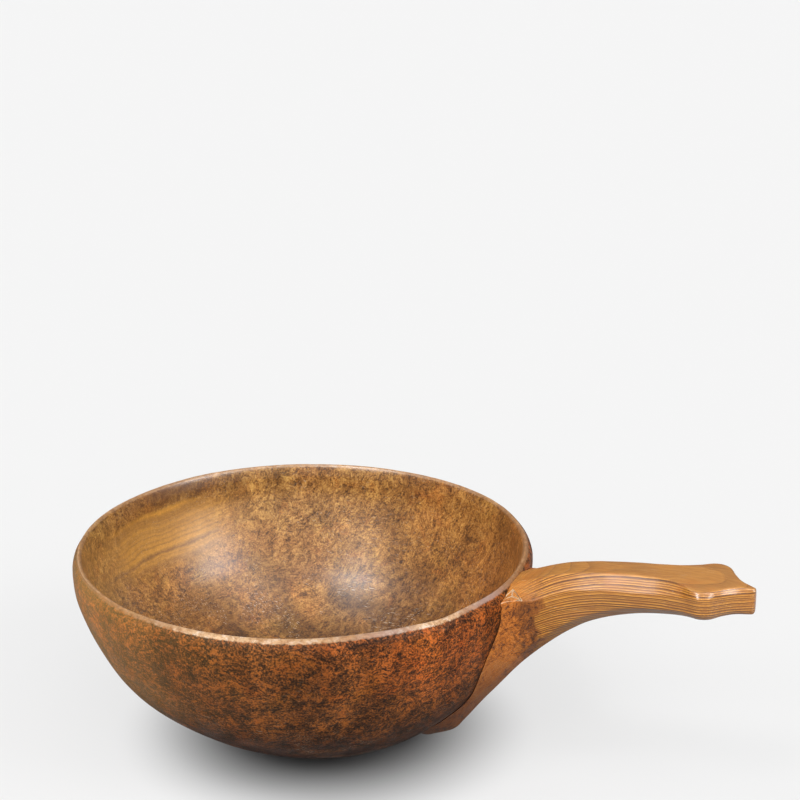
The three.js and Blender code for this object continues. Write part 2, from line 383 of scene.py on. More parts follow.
def new_ring(radius, segments):
    """A bmesh that holds one open ring, with its vertices and edges."""
    bm = bmesh.new()
    ring = bmesh.ops.create_circle(bm, cap_ends=False, radius=radius, segments=segments)["verts"]
    return bm, ring, bm.edges[:]


def drawn_out(bm, edges):
    """Extrudes a ring of edges; gives the fresh vertices and the fresh ring's edges."""
    grown = bmesh.ops.extrude_edge_only(bm, edges=edges)["geom"]
    fresh = {g for g in grown if isinstance(g, bmesh.types.BMVert)}
    return fresh, [g for g in grown if isinstance(g, bmesh.types.BMEdge) and all(v in fresh for v in g.verts)]


def stand(bm, place, direction):
    """Turns a bmesh made about the upright to run along a direction, and moves its origin to a place."""
    turn = direction.to_track_quat("Z", "Y").to_matrix().to_4x4()
    bmesh.ops.transform(bm, matrix=Matrix.Translation(place) @ turn, verts=bm.verts)


def spun(profile, turns):
    """A bmesh of a (radius, height) line spun once round the upright."""
    bm = bmesh.new()
    verts = [bm.verts.new((p.x, 0, p.y)) for p in profile]
    edges = [bm.edges.new(pair) for pair in zip(verts, verts[1:])]
    bmesh.ops.spin(bm, geom=verts + edges, cent=(0, 0, 0), axis=(0, 0, 1), angle=math.tau, steps=turns,
                   use_merge=True, use_duplicate=False)
    bmesh.ops.remove_doubles(bm, verts=bm.verts, dist=1e-6)
    bmesh.ops.recalc_face_normals(bm, faces=bm.faces)
    return bm


def per_vertex(thing, key):
    """The vertices' places or normals as an array of rows."""
    flat = np.zeros(len(thing.data.vertices) * 3)
    thing.data.vertices.foreach_get(key, flat)
    return flat.reshape(-1, 3)


def paint(thing, name, values):
    """Stores one value for each vertex."""
    layer = thing.data.attributes.get(name) or thing.data.attributes.new(name, "FLOAT", "POINT")
    layer.data.foreach_set("value", np.asarray(values, np.float32))


def ridge_values(bm, spread):
    """How far each vertex stands proud of its neighbours, 0 on flats and up to 1 on sharp ridges."""
    bm.normal_update()
    proud = {}
    for vert in bm.verts:
        lean = [(vert.co - edge.other_vert(vert).co).normalized().dot(vert.normal)
                for edge in vert.link_edges if edge.calc_length() > 1e-7]
        proud[vert] = max(0.0, sum(lean) / max(len(lean), 1)) if lean else 0.0
    for _ in range(spread):
        proud = {vert: 0.5 * proud[vert] + 0.5 * sum(proud[e.other_vert(vert)] for e in vert.link_edges)
                 / max(len(vert.link_edges), 1) for vert in bm.verts}
    return np.array([min(proud[vert] * 4, 1.0) for vert in bm.verts])


def carry_over(places, values, thing, name):
    """Stores the value of the nearest of some places on each vertex of an object."""
    tree = KDTree(len(places))
    for i, place in enumerate(places):
        tree.insert(place, i)
    tree.balance()
    paint(thing, name, [values[tree.find(vert.co)[1]] for vert in thing.data.vertices])


def distance_to_line(points, line):
    """Distance of each (radius, height) point to a broken line."""
    nearest = np.full(len(points), 1e9)
    for a, b in zip(line, line[1:]):
        start, span = np.array(a), np.array(b) - np.array(a)
        t = np.clip((points - start) @ span / max(span @ span, 1e-18), 0, 1)
        gap = points - start - t[:, None] * span
        nearest = np.minimum(nearest, np.hypot(gap[:, 0], gap[:, 1]))
    return nearest


def eased(low, high, values):
    """smooth_step over an array."""
    t = np.clip((values - low) / (high - low), 0, 1)
    return t * t * (3 - 2 * t)


def round_bell(angles, centre, spread):
    """bell over an array of angles."""
    off = (angles - centre + 180) % 360 - 180
    return np.exp(-((off / spread) ** 2))


# ---------------------------------------------------------------- bowl and trenails


def peg_places(settings):
    """Each trenail's name, side, place on the wall, direction into the root, and depth."""
    bowl, pegs = settings.bowl, settings.pegs
    rows = (("handle_peg_left", pegs.spread, pegs.upper_drop, pegs.upper_depth),
            ("handle_peg_right", -pegs.spread, pegs.upper_drop, pegs.upper_depth),
            ("handle_peg_lower", 0.0, pegs.lower_drop, pegs.lower_depth))
    for name, side, drop, depth in rows:
        spot, normal = wall_at(bowl, 1 - drop / bowl.height)
        yield name, Vector((spot.x, side, spot.y)), Vector((normal.x, 0, normal.y)), depth


def bar(place, direction, radius, start, end):
    """A bmesh round bar along a direction, from start to end past a place."""
    bm = bmesh.new()
    bmesh.ops.create_cone(bm, cap_ends=True, segments=HOLE_SEGMENTS, radius1=radius, radius2=radius,
                          depth=end - start)
    stand(bm, place + direction * (start + end) / 2, direction)
    return bm


def peg_holes(settings, tag):
    """Cutters for the trenails' holes."""
    radius = settings.pegs.radius + settings.pegs.clearance
    through_wall, end_play = settings.bowl.wall + 6 * MM, 0.3 * MM
    return [finish_mesh(bar(place, direction, radius, -through_wall, depth + end_play), f"{tag}_{name}")
            for name, place, direction, depth in peg_places(settings)]


def bowl_masks(made, bowl):
    """Paints where the bowl's wood is rubbed, streaked, dark or red, and where light, shade, highlights and
    sheen are painted onto it, by angle round it and by height.
    """
    spots = per_vertex(made, "co")
    angles = np.degrees(np.arctan2(spots[:, 1], spots[:, 0] + bowl.base_shift))
    up = spots[:, 2] / bowl.height
    inner = np.zeros(len(spots))
    made.data.attributes["inner"].data.foreach_get("value", inner)
    outer = 1 - inner

    def around(*bells):
        return sum(weight * round_bell(angles, centre, spread) for weight, centre, spread in bells)

    # painted light: the outside brightened below the lip by the handle and on the far left
    painted_light = around((0.9, -30, 18)) * eased(0.45, 0.75, up) + around((0.8, -135, 34)) * eased(0.2, 0.7, up)
    # painted shade: darker low on the outside and on the upper inner wall by the handle
    painted_shade = around((0.35, 15, 50)) * eased(0.25, 0.8, up) * inner + 0.95 * (1 - eased(0.12, 0.52, up)) * outer
    # the lip's scuffs and grey patches are wear, and also painted highlights and sheen where the lamps catch
    # the lip
    masks = {"scuff_and_highlight": around((0.85, -84, 17), (0.4, -62, 9), (1.1, -33, 10), (0.3, 120, 60)),
             "patina_and_sheen": around((1, -15, 9), (0.8, -45, 8)),
             "gold": around((1.1, 162, 25)) * eased(0.5, 0.7, up) * (1 - eased(0.84, 0.95, up)),
             "brown_rim": around((1, 158, 17)) * eased(0.86, 0.96, up),
             "deep": 1 - eased(0.3, 0.6, up),
             "painted_light": painted_light * (1 - 0.7 * eased(0.92, 0.99, up)) * outer,
             "ruddy": around((1, 25, 62)) * inner,
             # a green tone together with a painted sheen on the far left outside
             "green_tone_and_sheen": around((1, -135, 34)) * eased(0.15, 0.6, up),
             "painted_shade": np.clip(painted_shade, 0, 1)}
    for name, values in masks.items():
        paint(made, name, values)


def build_bowl(settings):
    """The bowl: a spun profile, made uneven, with the trenails' holes through its wall."""
    bowl = settings.bowl
    flat, outside, lip, inside = bowl_line(bowl)
    bm = spun(flat + outside + lip + inside, bowl.turns)
    around = np.array([(math.hypot(v.co.x, v.co.y), v.co.z) for v in bm.verts])
    to_outer = distance_to_line(around, flat + outside + lip[:1])
    to_inner = distance_to_line(around, lip[-1:] + inside)
    for vert, out_gap, in_gap in zip(bm.verts, to_outer, to_inner):
        vert.co = hand_carved(bowl, vert.co, in_gap < out_gap)
    places = [vert.co.copy() for vert in bm.verts]
    ridge = np.array(lip_knots(bowl)[2])
    to_ridge = np.hypot(*(around - ridge).T)
    outward = around[:, 0] > ridge[0] - 0.4 * MM
    masks = {"inner": eased(-1.2 * MM, 1.2 * MM, to_outer - to_inner),
             "lip": 1 - np.where(outward, eased(1.0 * MM, 3.4 * MM, to_ridge),
                                 eased(0.8 * MM, 2.2 * MM, to_ridge)),
             "worn": ridge_values(bm, 1)}
    made = finish_mesh(bm, "burl_bowl")
    cut_with(made, peg_holes(settings, "bowl_hole"))
    for name, values in masks.items():
        carry_over(places, values, made, name)
    bowl_masks(made, bowl)
    smooth_shaded(made, 40)
    return made


def whittled_peg(radius, total, facet_turn):
    """A trenail standing on its inner end: a shaft with worn edges, domed ends and seven faint facets."""
    swells = ((0.0, 0.9), (0.12, 0.965), (0.4, 0.995), (1.2, 1.0), (4.0, 0.995), (8.0, 1.0))
    rows = [(offset * MM, scale) for offset, scale in swells if offset * MM < total - 1 * MM]
    rows += [(total - 0.5 * MM, 0.99), (total, 0.9)]
    bm, ring, edges = new_ring(radius * rows[0][1], PEG_SEGMENTS)
    cap = bmesh.ops.contextual_create(bm, geom=edges)["faces"]
    for (offset, scale), (_, before) in zip(rows[1:], rows):
        ring, edges = drawn_out(bm, edges)
        for vert in ring:
            vert.co = (vert.co.x * scale / before, vert.co.y * scale / before, offset)
    cap += bmesh.ops.contextual_create(bm, geom=edges)["faces"]
    dome, dome_rings = 0.05 * MM, 4
    for _ in range(dome_rings):
        bmesh.ops.inset_region(bm, faces=cap, thickness=0.16 * radius, depth=0)
        for vert in {v for face in cap for v in face.verts}:
            vert.co.z += -dome if vert.co.z < total / 2 else dome
    for vert in bm.verts:
        facet = 0.985 + 0.0125 * math.cos(7 * math.atan2(vert.co.y, vert.co.x) + facet_turn)
        vert.co.x *= facet
        vert.co.y *= facet
    return bm


def build_pegs(settings):
    """The trenails, whose inner ends stand just proud of the bowl's inner wall."""
    for name, place, direction, depth in peg_places(settings):
        start = -(settings.bowl.wall + 0.15 * MM)
        bm = whittled_peg(settings.pegs.radius, depth - start, 1.3 * name.count("e"))
        stand(bm, place + direction * start, direction)
        bmesh.ops.recalc_face_normals(bm, faces=bm.faces)
        made = finish_mesh(bm, name.replace("handle_peg", "trenail"))
        smooth_shaded(made, 35)
        yield made, name


# ---------------------------------------------------------------- handle


def handle_sections(settings):
    """Cross-sections of the handle from its toe, low on the bowl, to its tip.

    Each has its top and foot in the middle plane as (x, z), then the half widths of the top face,
    shoulder, flank and underside, with the shoulder's drop and the flank's lift.
    """
    bowl, sizes = settings.bowl, settings.handle
    root, keel, grip = sizes.root_width / 2, sizes.keel_width / 2, sizes.grip_width / 2
    face, flat = grip - sizes.shoulder_chamfer, grip - sizes.keel_chamfer
    knuckle, tip, edge = sizes.knuckle_width / 2, sizes.tip_width / 2, 0.2 * sizes.end_thickness
    depth, thick, end = sizes.keel_depth, sizes.grip_thickness, sizes.end_thickness
    rim = middle_at(bowl, bowl.height) + bowl.radius
    rows = []
    for share, out, inward, shoulder, flank, under in (
            (0.085, -2 * MM, 6, 0.6 * root, 1.1 * keel, 0.8 * keel),
            (0.12, 0.65 * depth, 6, 0.85 * root, 1.4 * keel, 0.9 * keel),
            (0.15, 0.86 * depth, 6, 0.9 * root, 1.5 * keel, 0.95 * keel),
            (0.213, 1.2 * depth, 7, 0.95 * root, 1.55 * keel, keel),
            (0.27, depth, 7, root, 1.8 * keel, 1.1 * keel),
            (0.37, 0.75 * depth, 8, 1.1 * root, 2.1 * keel, 1.2 * keel),
            (0.5, 1.15 * depth, 10, 1.35 * root, 2.05 * keel, 1.25 * keel),
            (0.64, 2 * depth, 14, 1.5 * root, 2 * keel, 1.3 * keel)):
        spot, normal = wall_at(bowl, share)
        rows.append((spot - normal * inward * MM, spot + normal * out, 0.5 * shoulder, shoulder, 1 * MM,
                     flank, 0.75 * sizes.keel_chamfer, under))
    shoulder_drop, lift = sizes.shoulder_chamfer, sizes.keel_chamfer
    for top_reach, up, foot_reach, through, half_face, half_shoulder, drop, flank, raise_, under in (
            (-0.045, -0.16, 0.115, 1.54 * thick, face, root, 2.6 * MM, 2.05 * keel, lift, 1.3 * keel),
            (0.065, 0.24, 0.215, 1.34 * thick, face, 0.78 * root, 6.6 * MM, 2 * keel, lift, 1.3 * keel),
            (0.185, 0.56, 0.31, 1.2 * thick, face, 1.02 * grip, shoulder_drop, grip, lift, flat),
            (0.315, 0.76, 0.405, 1.1 * thick, face, 0.94 * grip, shoulder_drop, 0.94 * grip, lift, flat),
            (0.49, 0.92, 0.535, thick, face, grip, shoulder_drop, grip, lift, flat),
            (0.64, 0.98, 0.66, 0.91 * thick, 1.2 * face, 1.05 * grip, 0.8 * shoulder_drop, 1.05 * grip,
             0.9 * lift, 1.1 * flat),
            (0.73, 1, 0.735, 1.1 * end, 0.65 * knuckle, 0.83 * knuckle, 1.7 * edge, 0.82 * knuckle,
             1.25 * edge, 0.68 * knuckle),
            (0.78, 1, 0.782, 1.03 * end, 0.85 * knuckle, 0.94 * knuckle, edge, 0.93 * knuckle, edge,
             0.81 * knuckle),
            (0.815, 1, 0.817, end, 0.86 * knuckle, knuckle, edge, knuckle, edge, 0.89 * knuckle),
            (0.85, 0.99, 0.852, end, 0.76 * knuckle, 0.91 * knuckle, edge, 0.91 * knuckle, edge,
             0.8 * knuckle),
            (0.89, 0.97, 0.892, 0.98 * end, 0.46 * knuckle, 0.6 * knuckle, edge, 0.6 * knuckle, edge,
             0.5 * knuckle),
            (0.94, 0.93, 0.942, 0.96 * end, 0.2 * knuckle, 0.33 * knuckle, edge, 0.33 * knuckle, edge,
             0.25 * knuckle),
            (1, 0.86, 1, 0.92 * end, 0.5 * tip, tip, edge, tip, edge, 0.5 * tip)):
        top = Vector((rim + top_reach * sizes.reach, bowl.height + up * sizes.rise))
        foot = Vector((rim + foot_reach * sizes.reach, top.y - through))
        rows.append((top, foot, half_face, half_shoulder, drop, flank, raise_, under))
    return rows


def section_corners(row):
    """The eight corners of one cross-section, in order round it, from the near side's top."""
    top, foot, face, shoulder, drop, flank, lift, under = row
    down = (foot - top).normalized()
    half = ((top, face), (top + down * drop, shoulder), (foot - down * lift, flank), (foot, under))
    near = [Vector((p.x, -y, p.y)) for p, y in half]
    far = [Vector((p.x, y, p.y)) for p, y in half]
    return near + far[::-1]


def section_outline(corners, arris):
    """A cross-section's corners rounded by the arris, with points along its flats."""
    outline = []
    for k, corner in enumerate(corners):
        ahead = corners[(k + 1) % len(corners)]
        before, after = corners[k - 1] - corner, ahead - corner
        start = corner + before.normalized() * min(arris, 0.4 * before.length)
        reach = after.normalized() * min(arris, 0.4 * after.length)
        end = corner + reach
        for i in range(ARC_POINTS):
            t = i / (ARC_POINTS - 1)
            outline.append(start.lerp(corner, t).lerp(corner.lerp(end, t), t))
        outline += [end.lerp(ahead - reach, (i + 1) / (FLAT_POINTS + 1)) for i in range(FLAT_POINTS)]
    return outline


def handle_waver(settings, point):
    """A point of the handle moved as the knife and wear leave it."""
    sizes = settings.handle
    rim = middle_at(settings.bowl, settings.bowl.height) + settings.bowl.radius
    along = (point.x - rim) / sizes.reach
    prow = smooth_step(0.6, 0.8, along)
    side = point.y / (sizes.knuckle_width / 2)
    skew = 1.3 * MM * side * prow * (1 - smooth_step(0.86, 0.98, along))
    waves = Vector()
    for weight, scale, shift in ((1, 55, 9), (0.5, 130, 5)):
        place = point * scale
        waves += weight * Vector((0, noise.noise(place), noise.noise(place + Vector((shift,) * 3))))
    scoop = 0.7 * MM * math.exp(-(((along - 0.925) / 0.035) ** 2)) * min(abs(point.y) / (3 * MM), 1)
    moved = point + waves * 0.16 * MM + Vector((skew, 0, 0))
    moved.y -= math.copysign(scoop, point.y)
    moved.z -= 0.2 * MM * smooth_step(0.085, 0.095, point.z)
    return moved


def handle_outlines(settings):
    """The handle's cross-sections, finely spaced, from its toe to its blunt tip."""
    sizes = settings.handle
    tracks = list(zip(*(section_corners(row) for row in handle_sections(settings))))
    outlines = []
    for i in range(sizes.rings + 1):
        share = TIP_START * i / sizes.rings
        soften = 1 + 0.5 * smooth_step(0.62, 0.75, share)
        corners = [chord_curve(track, share) for track in tracks]
        outlines.append(section_outline(corners, sizes.arris * soften))
    tip = outlines[-1]
    centre = sum(tip, Vector()) / len(tip)
    room = HANDLE_HIGH.x - 0.15 * MM - centre.x
    for i in range(1, TIP_STEPS + 1):
        turn = math.pi / 2 * i / TIP_STEPS
        onward, inset = room * math.sin(turn), 1 - math.cos(turn)
        narrow, low = 1 - 0.6 * inset, 1 - 0.2 * inset
        outlines.append([Vector((p.x + onward, centre.y + (p.y - centre.y) * narrow,
                                 centre.z + (p.z - centre.z) * low)) for p in tip])
    return outlines


def handle_body(settings):
    """The handle before it is fitted: a ring drawn out from outline to outline."""
    first, *others = handle_outlines(settings)
    bm, ring, edges = new_ring(1, len(first))
    for vert, place in zip(ring, first):
        vert.co = place
    bmesh.ops.contextual_create(bm, geom=edges)
    for outline in others:
        fresh, edges = drawn_out(bm, edges)
        ring = [next(e.other_vert(vert) for e in vert.link_edges if e.other_vert(vert) in fresh)
                for vert in ring]
        for vert, place in zip(ring, outline):
            vert.co = place
    bmesh.ops.contextual_create(bm, geom=edges)
    for vert in bm.verts:
        vert.co = handle_waver(settings, vert.co)
    bmesh.ops.recalc_face_normals(bm, faces=bm.faces)
    return bm


def bowl_cutter(settings):
    """Everything inside the outside of the carved bowl, grown by the seam and carried up past the lip."""
    bowl, seam = settings.bowl, settings.handle.seam
    line = [Vector((0, -seam))] + outside_line(bowl, seam)
    line[1].y = -seam
    line += [Vector((p.x + seam, p.y)) for p in lip_knots(bowl)[:3]]
    above = bowl.height * 1.4
    line += [Vector((line[-1].x, above)), Vector((0, above))]
    bm = spun(line, bowl.turns)
    for vert in bm.verts:
        vert.co = hand_carved(bowl, vert.co, False)
    return finish_mesh(bm, "bowl_cutter")


def scribed_mark(made):
    """The three-cornered mark on the root beside the lip: each line's ends, with the surface's normals."""
    corners = ((84.5, -19.2, 85.2), (89.0, -11.8, 88.8), (95.5, -16.5, 84.3))
    left, high, right = (Vector(corner) * MM for corner in corners)
    inner = (left + high + right) / 3 + (right - left) * 0.1
    pairs = ((left, high), (high, right), (right, left), (left, inner), (high, inner), (inner, right))
    shaped = bmesh.new()
    shaped.from_mesh(made.data)
    surface = BVHTree.FromBMesh(shaped)
    shaped.free()
    return [[surface.find_nearest(place)[:2] for place in pair] for pair in pairs]


def scribed_grooves(lines):
    """A thin wedge along each line of the mark, to be cut out of the surface."""
    half_width, depth = 0.3 * MM, 0.35 * MM
    cutters = []
    for (start, normal), (end, _) in lines:
        along = (end - start).normalized()
        aside = along.cross(normal).normalized()
        bm = bmesh.new()
        corners = ((aside + normal) * half_width, (normal - aside) * half_width, normal * -depth)
        wedge = [bm.verts.new(start + corner) for corner in corners]
        grown = bmesh.ops.extrude_face_region(bm, geom=[bm.faces.new(wedge)])["geom"]
        bmesh.ops.translate(bm, verts=[g for g in grown if isinstance(g, bmesh.types.BMVert)],
                            vec=end - start)
        bmesh.ops.recalc_face_normals(bm, faces=bm.faces)
        cutters.append(finish_mesh(bm, "groove"))
    return cutters


def build_handle(settings):
    """The handle, scribed to the bowl, with its trenail holes, and the lines of its scribed mark."""
    bm = handle_body(settings)
    places = [vert.co.copy() for vert in bm.verts]
    worn = ridge_values(bm, 1)
    made = finish_mesh(bm, "carved_handle")
    lines = scribed_mark(made)
    cut_with(made, [bowl_cutter(settings)] + peg_holes(settings, "handle_hole") + scribed_grooves(lines))
    carry_over(places, worn, made, "worn")
    upward = per_vertex(made, "normal")[:, 2]
    # upward faces, which take the top colour, partly painted light
    paint(made, "top", eased(0.72, 0.95, upward))
    # downward faces, to be darkened as painted shade
    paint(made, "under", eased(0.25, 0.9, -upward))
    smooth_shaded(made, 32)
    return made, lines


# ---------------------------------------------------------------- shader building


class Tree:
    """Adds nodes to a shader tree and joins them."""

    def __init__(self, tree):
        self.tree = tree
        self.count = 0

    def put(self, socket, value):
        """Links a socket, or sets the socket's own value."""
        if isinstance(value, bpy.types.NodeSocket):
            self.tree.links.new(value, socket)
        elif socket.type == "RGBA" and len(value) == 3:
            socket.default_value = (*value, 1)
        else:
            socket.default_value = value

    def add(self, kind, inputs=None, **settings):
        """A node of a kind, with values or links for its inputs."""
        node = self.tree.nodes.new(kind)
        node.location = (230 * (self.count % 10), -300 * (self.count // 10))
        self.count += 1
        for key, value in settings.items():
            setattr(node, key, value)
        for key, value in (inputs or {}).items():
            self.put(node.inputs[key], value)
        return node

    def math(self, operation, *values, clamp=False):
        """The result of a sum."""
        return self.add("ShaderNodeMath", dict(enumerate(values)), operation=operation,
                        use_clamp=clamp).outputs[0]

    def times(self, *values, clamp=False):
        """Two or more values multiplied, held between 0 and 1 if clamp is set."""
        total = values[0]
        for value in values[1:]:
            total = self.math("MULTIPLY", total, value, clamp=clamp)
        return total

    def plus(self, base, value, share, clamp=False):
        """A base value plus a share of another."""
        return self.math("MULTIPLY_ADD", value, share, base, clamp=clamp)

    def vector(self, operation, *values, out="Vector"):
        """The result of a vector sum."""
        return self.add("ShaderNodeVectorMath", dict(enumerate(values)), operation=operation).outputs[out]

    def scaled(self, place, amount):
        """A place or direction made longer or shorter."""
        return self.add("ShaderNodeVectorMath", {0: place, "Scale": amount}, operation="SCALE").outputs[0]

    def split(self, place):
        """The three parts of a place."""
        return self.add("ShaderNodeSeparateXYZ", {0: place}).outputs

    def mix(self, factor, a, b, blend="MIX"):
        """Two colours mixed."""
        node = self.add("ShaderNodeMix", {0: factor, 6: a, 7: b}, data_type="RGBA", blend_type=blend)
        return node.outputs[2]

    def washed(self, colour, *washes):
        """A colour multiplied by each wash in turn, where its mask is."""
        for mask, wash in washes:
            colour = self.mix(mask, colour, wash, "MULTIPLY")
        return colour

    def span(self, value, low, high, to_low=0.0, to_high=1.0, smooth=True):
        """A value carried from one range to another, held at its ends."""
        return self.add("ShaderNodeMapRange", {0: value, 1: low, 2: high, 3: to_low, 4: to_high},
                        interpolation_type="SMOOTHSTEP" if smooth else "LINEAR").outputs[0]

    def noise(self, place, scale, detail=2.0, rough=0.5, bend=0.0, out=0):
        """Soft noise at a place."""
        return self.add("ShaderNodeTexNoise", {"Vector": place, "Scale": scale, "Detail": detail,
                                               "Roughness": rough, "Distortion": bend}).outputs[out]

    def centred(self, value, middle=0.5):
        """A value counted from its middle."""
        return self.math("SUBTRACT", value, middle)

    def patches(self, place, scale, low, high, detail=4, rough=0.6, bend=0.0):
        """A mask of soft patches, 0 where noise is below low and 1 above high."""
        return self.span(self.noise(place, scale, detail, rough, bend), low, high)

    def mapped(self, place, scale=(1, 1, 1), turn=(0, 0, 0), shift=(0, 0, 0), kind="POINT"):
        """A place turned, stretched and shifted."""
        return self.add("ShaderNodeMapping", {"Vector": place, "Location": shift, "Rotation": turn,
                                              "Scale": scale}, vector_type=kind).outputs[0]

    def painted(self, name):
        """A value stored on the mesh."""
        return self.add("ShaderNodeAttribute", attribute_name=name).outputs["Fac"]

    def place(self):
        """Object coordinates."""
        return self.add("ShaderNodeTexCoord").outputs["Object"]

    def warped(self, place, scale, amount, detail=2.0):
        """A place pushed about by noise."""
        push = self.vector("SUBTRACT", self.noise(place, scale, detail, out=1), (0.5, 0.5, 0.5))
        return self.vector("ADD", place, self.scaled(push, amount))


def new_group(name, inputs, *outputs):
    """An empty shader node group with named sockets: the group, its tree, its inputs and its outputs."""
    group = bpy.data.node_groups.new(name, "ShaderNodeTree")
    kinds = {"value": "NodeSocketFloat", "colour": "NodeSocketColor", "vector": "NodeSocketVector"}
    for direction, sockets in (("INPUT", inputs), ("OUTPUT", outputs)):
        for socket_name, kind, *default in sockets:
            socket = group.interface.new_socket(name=socket_name, in_out=direction, socket_type=kinds[kind])
            if default:
                socket.default_value = default[0]
    tree = Tree(group)
    return group, tree, tree.add("NodeGroupInput").outputs, tree.add("NodeGroupOutput").inputs


def use_group(tree, name, **values):
    """Places a shared group in a tree, built at its first use; underscores stand for spaces in its inputs."""
    group = bpy.data.node_groups.get(name) or GROUP_BUILDERS[name]()
    node = tree.add("ShaderNodeGroup", node_tree=group)
    for key, value in values.items():
        tree.put(node.inputs[key.replace("_", " ")], value)
    return node.outputs


def burl_figure_group():
    """Burl figure: soft mottles, small eyes, short curly fibres, veins and pores."""
    group, tree, given, result = new_group(
        "burl_figure",
        [("Dark", "colour"), ("Middle", "colour"), ("Light", "colour"), ("Shift", "vector"),
         ("Fibre Length", "vector"), ("Fibre Turn", "vector"), ("Fibre", "value", 0.3),
         ("Blotch", "value", 1.0), ("Balance", "value", 0.5), ("Contrast", "value", 1.0),
         ("Fine", "value", 1.5), ("Veins", "value", 0.5), ("Pore Depth", "value", 0.6)],
        ("Color", "colour"), ("Height", "value"))
    place = tree.vector("ADD", tree.place(), given["Shift"])
    curly = tree.warped(place, 60, 0.018, 3)
    blotch = tree.noise(curly, 38, 5, 0.62)
    middling = tree.noise(curly, 150, 5, 0.68, 0.8)
    eyes = tree.add("ShaderNodeTexVoronoi", {"Vector": tree.warped(curly, 300, 0.003), "Scale": 300,
                                             "Smoothness": 0.6, "Randomness": 1},
                    feature="SMOOTH_F1").outputs["Distance"]
    swirled = tree.warped(tree.warped(place, 34, 0.024, 2), 170, 0.006, 2)
    swirled = tree.mapped(swirled, given["Fibre Length"], given["Fibre Turn"], kind="TEXTURE")
    fibre = tree.noise(swirled, 620, 4, 0.66, 0.3)
    fine = tree.noise(place, 1250, 3, 0.6)
    total = 0
    for layer, middle, weight in ((blotch, 0.5, given["Blotch"]), (middling, 0.5, 0.6), (eyes, 0.42, 0.2),
                                  (fibre, 0.5, given["Fibre"]), (fine, 0.5, given["Fine"])):
        total = tree.plus(total, tree.centred(layer, middle), weight)
    total = tree.plus(given["Balance"], total, given["Contrast"])
    colour = tree.mix(tree.span(total, -0.05, 0.5, smooth=False), given["Dark"], given["Middle"])
    colour = tree.mix(tree.span(total, 0.5, 1.15, smooth=False), colour, given["Light"])
    veins = tree.math("ABSOLUTE", tree.centred(tree.noise(curly, 95, 5, 0.65)))
    veins = tree.times(tree.span(veins, 0.0, 0.035, 1, 0), tree.span(middling, 0.46, 0.62))
    colour = tree.mix(tree.times(veins, given["Veins"]), colour, given["Light"])
    pores = tree.span(tree.noise(tree.warped(place, 300, 0.002), 780, 2, 0.55), 0.3, 0.4, 1, 0)
    colour = tree.mix(tree.times(pores, given["Pore Depth"]), colour, given["Dark"])
    tree.put(result["Color"], colour)
    tree.put(result["Height"], tree.plus(tree.plus(tree.times(pores, -0.7), fibre, 0.6), fine, 0.5))
    return group


def growth_rings_group():
    """Growth rings cut along or across: pale early wood that darkens to a thin late-wood line."""
    group, tree, given, result = new_group(
        "growth_rings",
        [("Depth", "value"), ("Spacing", "value", 0.001), ("Early", "colour"), ("Late", "colour"),
         ("Line", "colour"), ("Sharpness", "value", 1.0)],
        ("Color", "colour"), ("Height", "value"))
    count = tree.math("DIVIDE", given["Depth"], given["Spacing"])
    uneven = tree.add("ShaderNodeTexNoise", {"W": tree.times(count, 0.37), "Scale": 1, "Detail": 2},
                      noise_dimensions="1D").outputs[0]
    count = tree.plus(count, uneven, 1.3)
    part = tree.math("FRACT", count)
    strength = tree.add("ShaderNodeTexWhiteNoise", {"W": tree.math("FLOOR", count)},
                        noise_dimensions="1D").outputs[0]
    line = tree.times(tree.math("POWER", part, 2.2), tree.span(part, 0.9, 1.0, 1.0, 0.0),
                      tree.span(strength, 0, 1, 0.35, 1.0))
    line = tree.times(line, given["Sharpness"], clamp=True)
    colour = tree.mix(tree.span(part, 0.1, 0.85, 0, 0.8), given["Early"], given["Late"])
    tree.put(result["Color"], tree.mix(line, colour, given["Line"]))
    tree.put(result["Height"], line)
    return group


def worn_edges_group():
    """Where handling has rubbed the ridges, broken up by noise."""
    group, tree, given, result = new_group(
        "worn_edges", [("Ridge", "value"), ("Amount", "value", 1.0), ("Break Up", "value", 0.5)],
        ("Mask", "value"))
    patchy = tree.times(tree.centred(tree.noise(tree.place(), 260, 4, 0.65)), given["Break Up"])
    tree.put(result["Mask"], tree.span(tree.plus(patchy, given["Ridge"], given["Amount"]), 0.25, 0.75))
    return group


def scribed_line_group():
    """How near a place is to a straight scribed line."""
    group, tree, given, result = new_group(
        "scribed_line", [("Start", "vector"), ("Run", "vector"), ("Width", "value", 0.0007)],
        ("Mask", "value"))
    place = tree.vector("SUBTRACT", tree.warped(tree.place(), 400, 0.0006), given["Start"])
    dots = [tree.vector("DOT_PRODUCT", each, given["Run"], out="Value") for each in (place, given["Run"])]
    along = tree.math("DIVIDE", *dots, clamp=True)
    gap = tree.vector("DISTANCE", place, tree.scaled(given["Run"], along), out="Value")
    tree.put(result["Mask"], tree.span(tree.math("DIVIDE", gap, given["Width"]), 0.4, 1.0, 1, 0))
    return group


def scratches_group():
    """Fine scratches in three directions, lying in patches."""
    group, tree, given, result = new_group(
        "fine_scratches", [("Amount", "value", 0.5), ("Shift", "vector")], ("Mask", "value"))
    place = tree.vector("ADD", tree.place(), given["Shift"])
    bent = tree.warped(place, 45, 0.006, 1)
    mask = 0
    for turn, squeeze in (((0.3, 0.5, 0.7), (1.0, 12, 12)), ((0.2, -0.4, 2.1), (1.0, 14, 14)),
                          ((1.2, 0.6, 1.2), (1.2, 13, 13))):
        streaks = tree.patches(tree.mapped(bent, squeeze, turn), 130, 0.64, 0.72, detail=2)
        mask = tree.math("MAXIMUM", streaks, mask)
    gate = tree.patches(place, 75, 0.45, 0.62, detail=2, rough=0.5)
    tree.put(result["Mask"], tree.times(mask, gate, given["Amount"]))
    return group


GROUP_BUILDERS = {"burl_figure": burl_figure_group, "growth_rings": growth_rings_group,
                  "worn_edges": worn_edges_group, "scribed_line": scribed_line_group,
                  "fine_scratches": scratches_group}


